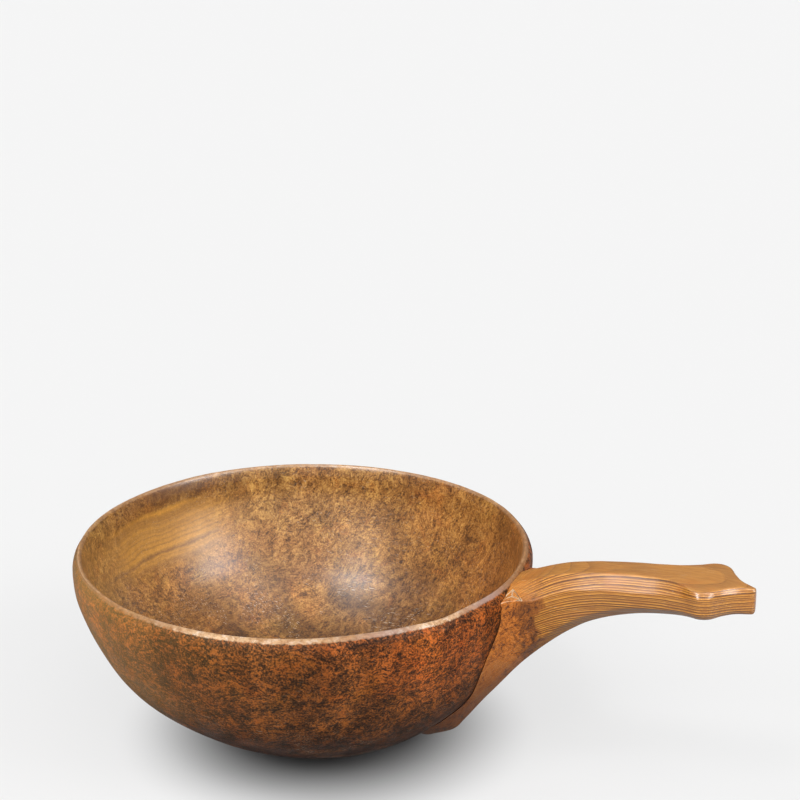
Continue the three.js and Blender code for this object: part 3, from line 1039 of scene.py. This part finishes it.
def wood_material(name):
    """An empty material: its tree, its Principled shader and a Bump node already in place."""
    material = bpy.data.materials.new(name)
    material.use_nodes = True
    material.node_tree.nodes.clear()
    tree = Tree(material.node_tree)
    output = tree.add("ShaderNodeOutputMaterial")
    principled = tree.add("ShaderNodeBsdfPrincipled")
    bump = tree.add("ShaderNodeBump")
    tree.put(output.inputs["Surface"], principled.outputs[0])
    tree.put(principled.inputs["Normal"], bump.outputs[0])
    return material, tree, principled, bump


def finish_wood(tree, principled, bump, colour, height, relief, roughness, coat=0.0, **constants):
    """Joins a wood's colour, relief, roughness and coat to its shader; relief is its strength and depth."""
    strength, depth = relief
    for node, name, value in ((principled, "Base Color", colour), (bump, "Height", height),
                              (bump, "Strength", strength), (bump, "Distance", depth),
                              (principled, "Roughness", roughness), (principled, "Coat Weight", coat)):
        tree.put(node.inputs[name], value)
    for name, value in constants.items():
        principled.inputs[name.replace("_", " ")].default_value = value


def golden_grain(tree, place, colours, burl):
    """The streak of straight grain inside the bowl, whose bands bend round a point beyond the rim."""
    bend_middle = (-0.104, 0.024, 0.103)
    away = tree.vector("SUBTRACT", tree.warped(place, 28, 0.009, 2), bend_middle)
    away = tree.vector("LENGTH", tree.vector("MULTIPLY", away, (0.4, 0.42, 1.0)), out="Value")
    away = tree.plus(away, tree.centred(tree.noise(place, 320, 3, 0.7)), 0.0016)
    bands = tree.add("ShaderNodeCombineXYZ", {0: tree.times(away, 9.0),
                                              1: tree.times(tree.split(place)[2], 0.2)}).outputs[0]
    bands = tree.span(tree.noise(bands, 48, 4, 0.62), 0.3, 0.66, smooth=False)
    between = (0.24, 0.11, 0.035)
    return tree.mix(0.25, tree.mix(bands, between, colours.gold), burl)


def lip_wear_and_highlights(tree, place, colour, colours, scuffs_and_highlights):
    """The lip, worn pale in scuffs and greyed with age, the pale and grey standing also for painted
    highlights and sheen; its colour and its mask.
    """
    patina_and_sheen, flecks = tree.painted("patina_and_sheen"), tree.noise(place, 500, 4, 0.7)
    lip = tree.span(tree.math("ADD", tree.painted("lip"), tree.plus(-0.45, flecks, 0.9)), 0.35, 0.8)
    pale = tree.times(tree.span(flecks, 0.3, 0.62), tree.plus(0.25, scuffs_and_highlights, 0.75, clamp=True))
    unrubbed = (0.33, 0.15, 0.05)
    # worn pale and grey, which also stand for painted highlights and sheen
    rubbed = tree.mix(pale, unrubbed, colours.lip_pale)
    rubbed = tree.mix(tree.times(patina_and_sheen, 0.85), rubbed, colours.lip_grey)
    weight = tree.plus(0.52, tree.math("MAXIMUM", scuffs_and_highlights, patina_and_sheen), 0.45, clamp=True)
    return tree.mix(tree.times(lip, weight), colour, rubbed), lip


def burl_material(colours):
    """Oiled burl: dark and red outside, golden inside, pale on the rubbed lip."""
    material, tree, principled, bump = wood_material("oiled_burl")
    place = tree.place()
    inner, deep, scuffs_and_highlights = (tree.painted(name) for name in ("inner", "deep", "scuff_and_highlight"))
    outer_wood = use_group(tree, "burl_figure", Dark=colours.outside_dark, Middle=colours.outside_middle,
                           Light=colours.outside_light, Fibre_Length=(2.2, 2.2, 0.8), Fibre=1.6, Blotch=0.65,
                           Balance=0.48, Contrast=1.85, Fine=1.8, Veins=0.65, Pore_Depth=0.3)
    inner_wood = use_group(tree, "burl_figure", Dark=colours.inside_dark, Middle=colours.inside_middle,
                           Light=colours.inside_light, Shift=(0.3, 0.1, 0.2),
                           Fibre_Length=(2.8, 0.9, 1.6), Fibre_Turn=(0.3, -0.5, 0.9), Fibre=1.5, Blotch=0.6,
                           Balance=0.5, Contrast=1.6, Fine=1.3, Veins=0.35)
    colour = tree.mix(inner, outer_wood["Color"], inner_wood["Color"])

    # broad drifts of warmth, rust and olive, and painted light on the outside below the lip by the handle and
    # on the far left
    tide = tree.noise(place, 16, 3, 0.55)
    warm = tree.mix(tree.span(tide, 0.4, 0.62), (1.0, 0.91, 0.78), (0.98, 1.02, 0.9))
    flames = tree.mapped(tree.warped(place, 40, 0.008, 2), (1, 1, 0.12))
    flames = tree.mix(tree.patches(flames, 82, 0.36, 0.64, rough=0.62), (0.7, 0.64, 0.58), (1.12, 1.1, 1.06))
    rusty = tree.patches(place, 95, 0.54, 0.7, bend=1.0)
    olive = tree.patches(tree.mapped(place, shift=(0.5, 0.2, 0.7)), 60, 0.52, 0.68)
    colour = tree.washed(colour, (0.9, warm), (0.8, flames), (tree.painted("ruddy"), (1.06, 0.86, 0.76)),
                         (tree.painted("painted_light"), (2.0, 1.75, 1.45)),
                         (tree.times(rusty, 0.38), (1.1, 0.76, 0.48)),
                         (tree.times(olive, 0.5), (0.9, 0.98, 0.72)))

    # the golden streak and the brown rim above it, then the dark low down, the green tone with its painted
    # sheen on the far left, and painted shade low on the outside and on the inner wall by the handle
    streak = tree.math("ADD", tree.times(tree.painted("gold"), inner), tree.plus(-0.45, tide, 0.9))
    gold = golden_grain(tree, place, colours, inner_wood["Color"])
    colour = tree.mix(tree.times(tree.span(streak, 0.15, 0.85), inner), colour, gold)
    brown_rim = tree.times(tree.painted("brown_rim"), tree.math("ADD", tide, 0.2))
    colour = tree.mix(brown_rim, colour, (0.13, 0.05, 0.018))
    low = tree.times(deep, tree.patches(place, 55, 0.25, 0.6, detail=3, rough=0.5), 0.85)
    colour = tree.washed(colour, (low, (0.33, 0.28, 0.24)))
    # green tone and painted sheen on the far left outside
    green_tone_and_sheen = tree.times(tree.painted("green_tone_and_sheen"), tree.math("SUBTRACT", 1, inner), 0.4)
    colour = tree.mix(green_tone_and_sheen, colour, colours.green_tone_and_sheen)
    # painted shade low on the outside and on the upper inner wall by the handle
    colour = tree.washed(colour, (tree.painted("painted_shade"), (0.45, 0.43, 0.38)))

    # wear and painted highlights: the lip, the ridges, pale scuffs and scratches, with the lip's pale and
    # grey also standing for painted highlights and sheen
    colour, lip = lip_wear_and_highlights(tree, place, colour, colours, scuffs_and_highlights)
    ridges = use_group(tree, "worn_edges", Ridge=tree.painted("worn"), Amount=0.8, Break_Up=1.2)["Mask"]
    ridge_weight = tree.plus(0.45, scuffs_and_highlights, 0.35, clamp=True)
    colour = tree.mix(tree.times(ridges, ridge_weight), colour, colours.lip_pale)
    scuff_and_highlight = tree.times(scuffs_and_highlights, lip, tree.patches(tree.mapped(place, (1, 1, 2)), 320, 0.5, 0.62, rough=0.7))
    colour = tree.mix(tree.times(scuff_and_highlight, 0.5, clamp=True), colour, (0.85, 0.74, 0.62))
    marks = use_group(tree, "fine_scratches", Amount=1.0)["Mask"]
    fade = tree.times(marks, tree.plus(tree.plus(0.08, inner, 0.25), deep, 0.5))
    colour = tree.mix(fade, colour, (0.62, 0.5, 0.36))

    height = tree.add("ShaderNodeMix", {0: inner, 2: outer_wood["Height"], 3: inner_wood["Height"]},
                      data_type="FLOAT").outputs[0]
    rough = tree.span(tree.noise(place, 90, 3, 0.6), 0.35, 0.65, 0.42, 0.56, smooth=False)
    oiled = tree.plus(tree.plus(0.03, inner, 0.92), deep, -0.45, clamp=True)
    finish_wood(tree, principled, bump, colour, tree.plus(height, marks, -0.5), (0.6, 0.6 * MM),
                tree.plus(rough, ridges, -0.12), oiled, Specular_IOR_Level=0.1, Coat_IOR=1.7,
                Coat_Roughness=0.34)
    return material


def ring_depth(tree, place):
    """Distance through the handle's growth rings, which lie level in the grip and dive at the root."""
    split = tree.split(tree.warped(place, 30, 0.0016, 2))
    dive = tree.math("EXPONENT", tree.math("DIVIDE", tree.math("SUBTRACT", 0.090, split[0]), 0.023))
    depth = tree.plus(split[2], dive, 0.0209)
    return tree.plus(depth, tree.times(split[1], split[1]), -6.0), split


def handle_material(colours, lines):
    """Waxed stem wood: honey growth rings in the grip, burl figure in the root."""
    material, tree, principled, bump = wood_material("waxed_stem_wood")
    place = tree.place()
    depth, split = ring_depth(tree, place)
    rings = use_group(tree, "growth_rings", Depth=depth, Spacing=0.95 * MM, Early=colours.handle_pale,
                      Late=colours.handle_deep, Line=colours.handle_line, Sharpness=1.7)
    streaks = tree.noise(tree.mapped(tree.warped(place, 40, 0.004), (0.12, 1, 1)), 900, 3, 0.6)
    cloud = tree.noise(place, 60, 4, 0.6)
    # upward faces take the top colour: plainer cut grain and painted light
    colour = tree.mix(tree.times(tree.painted("top"), 0.82), rings["Color"], colours.handle_top_tone_and_light)
    colour = tree.mix(tree.span(streaks, 0.35, 0.65, 0, 0.45), colour, colours.handle_deep)
    colour = tree.mix(tree.span(cloud, 0.5, 0.72, 0, 0.3), colour, colours.root_red)

    # the root's burl ends in an uneven border, dark along its edge
    burl = use_group(tree, "burl_figure", Dark=colours.root_dark, Middle=colours.root_red,
                     Light=colours.root_light, Shift=(0.2, 0.4, 0.1), Fibre_Length=(0.9, 1, 3.0),
                     Fibre_Turn=(0, 0.5, 0), Fibre=1.6, Blotch=1.3, Balance=0.5, Contrast=1.5, Fine=0.9,
                     Veins=0.3, Pore_Depth=0.1)
    edge = tree.plus(split[0], tree.centred(tree.noise(place, 85, 3, 0.6)), 0.022)
    level = tree.plus(split[2], tree.centred(cloud), 0.012)
    root = tree.times(tree.span(edge, 0.1005, 0.1035, 1, 0), tree.span(level, 0.0835, 0.0865, 1, 0.22))
    border = tree.times(root, tree.span(edge, 0.094, 0.1005), 0.5)
    colour = tree.mix(root, colour, burl["Color"])
    colour = tree.mix(border, colour, colours.outside_dark)
    # the root darker towards the bottom
    colour = tree.washed(colour, (tree.span(split[2], 0.028, 0.062, 0.75, 0.0), (0.3, 0.25, 0.2)))
    # painted shade: downward faces darkened towards the outside's dark
    colour = tree.mix(tree.times(tree.painted("under"), 0.55), colour, colours.outside_dark)

    # wear, scratches and the scribed mark
    ridges = use_group(tree, "worn_edges", Ridge=tree.painted("worn"), Amount=1.0, Break_Up=0.7)["Mask"]
    marks = use_group(tree, "fine_scratches", Amount=0.6, Shift=(0.1, 0.2, 0.3))["Mask"]
    colour = tree.mix(tree.times(ridges, 0.55), colour, colours.lip_pale)
    colour = tree.mix(tree.times(marks, 0.25), colour, (0.75, 0.62, 0.45))
    for (start, _), (end, _) in lines:
        line = use_group(tree, "scribed_line", Start=start, Run=end - start, Width=0.45 * MM)["Mask"]
        colour = tree.mix(tree.times(line, 0.65), colour, (0.66, 0.52, 0.35))

    height = tree.plus(tree.plus(tree.times(streaks, 0.25), rings["Height"], 0.8), marks, -0.4)
    rough = tree.span(tree.noise(place, 110, 3, 0.6), 0.35, 0.65, 0.38, 0.5, smooth=False)
    waxed = tree.span(split[0], 0.1, 0.125, 0.15, 0.8)
    finish_wood(tree, principled, bump, colour, height, (0.7, 0.4 * MM), rough, waxed,
                Specular_IOR_Level=0.25, Coat_IOR=1.65, Coat_Roughness=0.26)
    return material


def peg_material(colours):
    """Dry trenail wood, end grain out."""
    material, tree, principled, bump = wood_material("trenail_wood")
    place = tree.place()
    pith = (0, 0.021, 0.049)
    across = tree.vector("SUBTRACT", tree.warped(place, 160, 0.0008), pith)
    depth = tree.vector("LENGTH", tree.vector("MULTIPLY", across, (0, 1, 1)), out="Value")
    rings = use_group(tree, "growth_rings", Depth=depth, Spacing=0.8 * MM, Early=colours.peg_pale,
                      Late=colours.handle_deep, Line=colours.peg_line, Sharpness=1.2)
    grime = tree.noise(place, 700, 3, 0.6)
    colour = tree.mix(tree.span(grime, 0.5, 0.7, 0, 0.6), rings["Color"], colours.outside_dark)
    rubbed = use_group(tree, "worn_edges", Ridge=0.0, Amount=1.0, Break_Up=0.6)["Mask"]
    finish_wood(tree, principled, bump, tree.mix(rubbed, colour, colours.lip_pale),
                tree.math("ADD", rings["Height"], grime), (0.4, 0.3 * MM),
                tree.span(grime, 0.3, 0.7, 0.5, 0.68, smooth=False))
    return material


# ---------------------------------------------------------------- operators


def place_piece(piece, material, slot, *nodes):
    """Gives a piece its wood and its body, and hides the frame nodes that it stands for; the slot is not
    used.
    """
    piece.data.materials.clear()
    piece.data.materials.append(material)
    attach(piece, BODY)
    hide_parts(*nodes)


class DRINKBOWL_OT_bowl(bpy.types.Operator):
    """Carve the burl bowl"""

    bl_idname = "drinkbowl.bowl"
    bl_label = "Burl Bowl"

    def execute(self, context):
        settings = context.scene.drinking_bowl
        piece = build_bowl(settings)
        if not piece.data.polygons:
            raise RuntimeError("the bowl came out empty")
        place_piece(piece, burl_material(settings.colours), "burl_bowl", "bowl")
        return {"FINISHED"}


class DRINKBOWL_OT_handle(bpy.types.Operator):
    """Carve the handle and scribe its root to the bowl"""

    bl_idname = "drinkbowl.handle"
    bl_label = "Handle"

    def execute(self, context):
        settings = context.scene.drinking_bowl
        piece, lines = build_handle(settings)
        if not piece.data.polygons:
            raise RuntimeError("the handle came out empty")
        place_piece(piece, handle_material(settings.colours, lines), "handle_wood", "handle")
        return {"FINISHED"}


class DRINKBOWL_OT_trenails(bpy.types.Operator):
    """Whittle the three trenails that hold the handle"""

    bl_idname = "drinkbowl.trenails"
    bl_label = "Trenails"

    def execute(self, context):
        settings = context.scene.drinking_bowl
        material = peg_material(settings.colours)
        for piece, node in build_pegs(settings):
            place_piece(piece, material, "peg_wood", node)
        return {"FINISHED"}


# name, azimuth and height of the source, strength, spread in degrees, seen in gloss, lights plain surfaces
SUNS = (("front_soft", -65, 42, 2.2, 76, False, True),
        ("side_soft", -150, 50, 0.75, 50, False, True),
        ("right_box", -4, 33, 1.05, 24, True, True),
        ("left_box_low", -104, 36, 0.5, 16, True, True),
        ("left_box_high", -114, 60, 0.5, 13, True, True),
        ("wax_sheen", -110, 60, 0.9, 22, True, False),
        ("oil_sheen", -6, 34, 0.35, 40, True, False),
        ("end_sheen", 0, 64, 0.6, 24, True, False))


def add_sun(name, azimuth, height, strength, spread, mirrored, lit):
    """A soft sun from a direction given in degrees, which can be kept out of gloss or out of plain light."""
    data = bpy.data.lights.new(name, "SUN")
    data.energy = strength
    data.angle = math.radians(spread)
    lamp = bpy.data.objects.new(name, data)
    lamp.visible_glossy = mirrored
    lamp.visible_diffuse = lit
    turn, rise = math.radians(azimuth), math.radians(height)
    source = Vector((math.cos(rise) * math.cos(turn), math.cos(rise) * math.sin(turn), math.sin(rise)))
    lamp.rotation_euler = source.to_track_quat("Z", "Y").to_euler()
    lamp.location = source * 2
    bpy.context.scene.collection.objects.link(lamp)


def paper_floor(studio):
    """The pale floor: partly self-lit paper, with a soft round shade about the bowl's foot."""
    bm = bmesh.new()
    bmesh.ops.create_grid(bm, x_segments=1, y_segments=1, size=studio.floor_side / 2)
    floor = finish_mesh(bm, "studio_floor")
    material = bpy.data.materials.new("studio_paper")
    material.use_nodes = True
    shader = material.node_tree.nodes["Principled BSDF"]
    paper = Tree(material.node_tree)
    seen = paper.add("ShaderNodeLightPath").outputs["Is Camera Ray"]
    bounced, direct = (0.42, 0.42, 0.42), (0.19, 0.19, 0.19)
    from_foot = paper.vector("LENGTH", paper.vector("MULTIPLY", paper.place(), (1, 1, 0)), out="Value")
    shaded = paper.span(from_foot, studio.shade_start, studio.shade_end)
    for name, value in (("Base Color", paper.mix(seen, bounced, direct)), ("Roughness", 1),
                        ("Specular IOR Level", 0),
                        ("Emission Color", paper.mix(shaded, (0, 0, 0), studio.floor_colour)),
                        ("Emission Strength", paper.times(seen, studio.floor_glow))):
        paper.put(shader.inputs[name], value)
    floor.data.materials.append(material)


def even_sky(studio):
    """Even light from all round, brighter overhead, that the camera sees as pale paper."""
    world = bpy.data.worlds.new("studio")
    world.use_nodes = True
    sky = Tree(world.node_tree)
    upright = sky.split(sky.add("ShaderNodeTexCoord").outputs["Generated"])[2]
    light = sky.span(upright, 0.1, 0.9, 0.25 * studio.sky, 1.35 * studio.sky)
    seen, seen_strength = sky.add("ShaderNodeLightPath").outputs["Is Camera Ray"], 0.9
    light = sky.math("ADD", sky.times(light, sky.math("SUBTRACT", 1, seen)), sky.times(seen, seen_strength))
    background = world.node_tree.nodes["Background"]
    sky.put(background.inputs["Strength"], light)
    sky.put(background.inputs["Color"], (1, 1, 1))
    bpy.context.scene.world = world


def place_camera(studio):
    """The camera, above the bowl's near side and a little towards the handle."""
    data = bpy.data.cameras.new("camera")
    data.lens = studio.lens
    data.sensor_width = 36
    data.clip_end = 50
    camera = bpy.data.objects.new("camera", data)
    camera.location = studio.camera_spot
    camera.rotation_euler = (studio.camera_pitch, 0, studio.camera_turn)
    bpy.context.scene.collection.objects.link(camera)
    bpy.context.scene.camera = camera


class DRINKBOWL_OT_studio(bpy.types.Operator):
    """Set up the pale floor, the soft light and the camera"""

    bl_idname = "drinkbowl.studio"
    bl_label = "Studio"

    def execute(self, context):
        studio = context.scene.drinking_bowl.studio
        paper_floor(studio)
        for sun in SUNS:
            add_sun(*sun)
        even_sky(studio)
        place_camera(studio)
        context.scene.view_settings.view_transform = "Standard"
        return {"FINISHED"}


class DRINKBOWL_PT_panel(bpy.types.Panel):
    """Lists the pieces and their sizes."""

    bl_idname = "DRINKBOWL_PT_panel"
    bl_label = "Drinking Bowl"
    bl_space_type = "VIEW_3D"
    bl_region_type = "UI"
    bl_category = "Drinking Bowl"

    def draw(self, context):
        settings = context.scene.drinking_bowl
        for title, part, operator in (("Bowl", settings.bowl, DRINKBOWL_OT_bowl),
                                      ("Handle", settings.handle, DRINKBOWL_OT_handle),
                                      ("Trenails", settings.pegs, DRINKBOWL_OT_trenails),
                                      ("Colours", settings.colours, None),
                                      ("Studio", settings.studio, DRINKBOWL_OT_studio)):
            box = self.layout.box()
            box.label(text=title)
            for name in part.bl_rna.properties.keys():
                if name not in {"rna_type", "name"}:
                    box.prop(part, name)
            if operator:
                box.operator(operator.bl_idname)


CLASSES = (BowlSizes, HandleSizes, PegSizes, WoodColours, StudioSetup, DrinkingBowl, DRINKBOWL_OT_bowl,
           DRINKBOWL_OT_handle, DRINKBOWL_OT_trenails, DRINKBOWL_OT_studio, DRINKBOWL_PT_panel)


def register():
    for item in CLASSES:
        bpy.utils.register_class(item)
    bpy.types.Scene.drinking_bowl = PointerProperty(type=DrinkingBowl)


def unregister():
    del bpy.types.Scene.drinking_bowl
    for item in reversed(CLASSES):
        bpy.utils.unregister_class(item)


def main():
    register()
    bpy.ops.drinkbowl.studio()
    bpy.ops.drinkbowl.bowl()
    bpy.ops.drinkbowl.handle()
    bpy.ops.drinkbowl.trenails()


if __name__ == "__main__":
    main()
